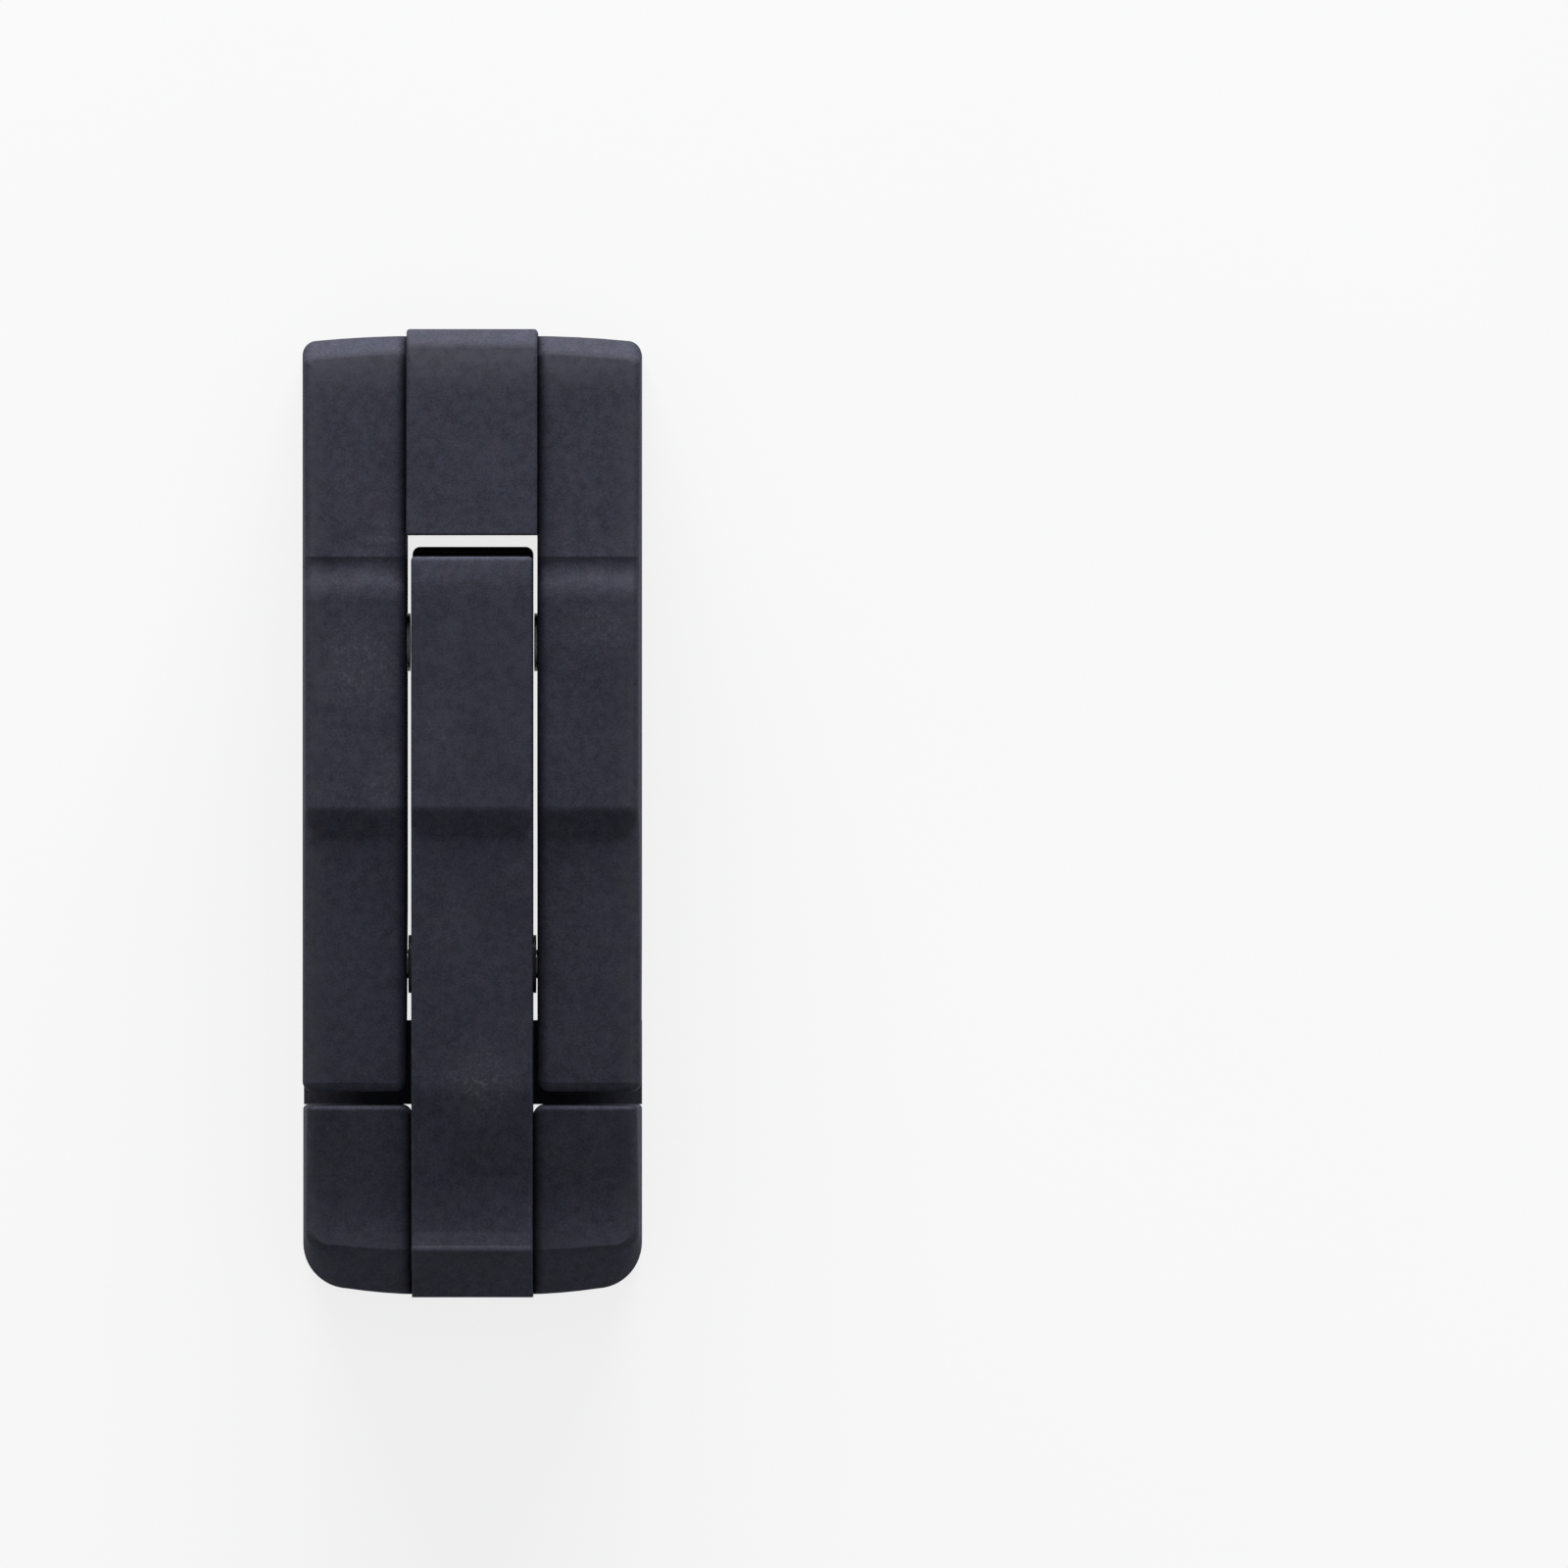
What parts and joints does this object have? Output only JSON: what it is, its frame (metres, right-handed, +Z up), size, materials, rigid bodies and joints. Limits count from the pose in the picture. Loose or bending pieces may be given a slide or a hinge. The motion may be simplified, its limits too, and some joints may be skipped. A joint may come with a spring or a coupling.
{
  "type": "folding wheel chock",
  "caption": "Folding wheel chock of black moulded plastic: a toe base with a middle spine, a forked ramp hinged to it, and a steel prop strut under the ramp.",
  "frame": {"origin": "middle of the rectangle that the folded chock covers, on the surface it lies on", "axes": "+Y along the chock from the toe block to the head, +Z up out of the visible face, +X across"},
  "size_m": [0.07, 0.2, 0.03],
  "materials": {
    "shell_plastic": "fine moulded grain, slightly bluish black, faint whitish dust",
    "washer_plastic": "smooth moulded nylon",
    "pin_steel": "zinc plated, dull",
    "spring_steel": "oiled spring steel",
    "strut_steel": "zinc plated, sheared edges"
  },
  "bodies": {
    "base": {"base_shell": "shell_plastic", "main_axle": "pin_steel", "axle_push_nut": "spring_steel", "thrust_washer_left": "washer_plastic", "thrust_washer_right": "washer_plastic"},
    "ramp": {"ramp_shell": "shell_plastic", "strut_pin_left": "pin_steel", "strut_pin_right": "pin_steel", "pin_push_nut_left": "spring_steel", "pin_push_nut_right": "spring_steel"},
    "strut": {"strut_arm_left": "strut_steel", "strut_arm_right": "strut_steel", "strut_crossbar": "strut_steel"}
  },
  "joints": [
    {"name": "ramp_fold", "type": "hinge", "parent": "base", "child": "ramp", "pos_m": [0, -0.0311, 0.014], "axis": [1, 0, 0], "range_deg": [0, 36]},
    {"name": "strut_swing", "type": "hinge", "parent": "ramp", "child": "strut", "pos_m": [0, 0.0354, 0.014], "axis": [-1, 0, 0], "range_deg": [0, 92.4]}
  ]
}
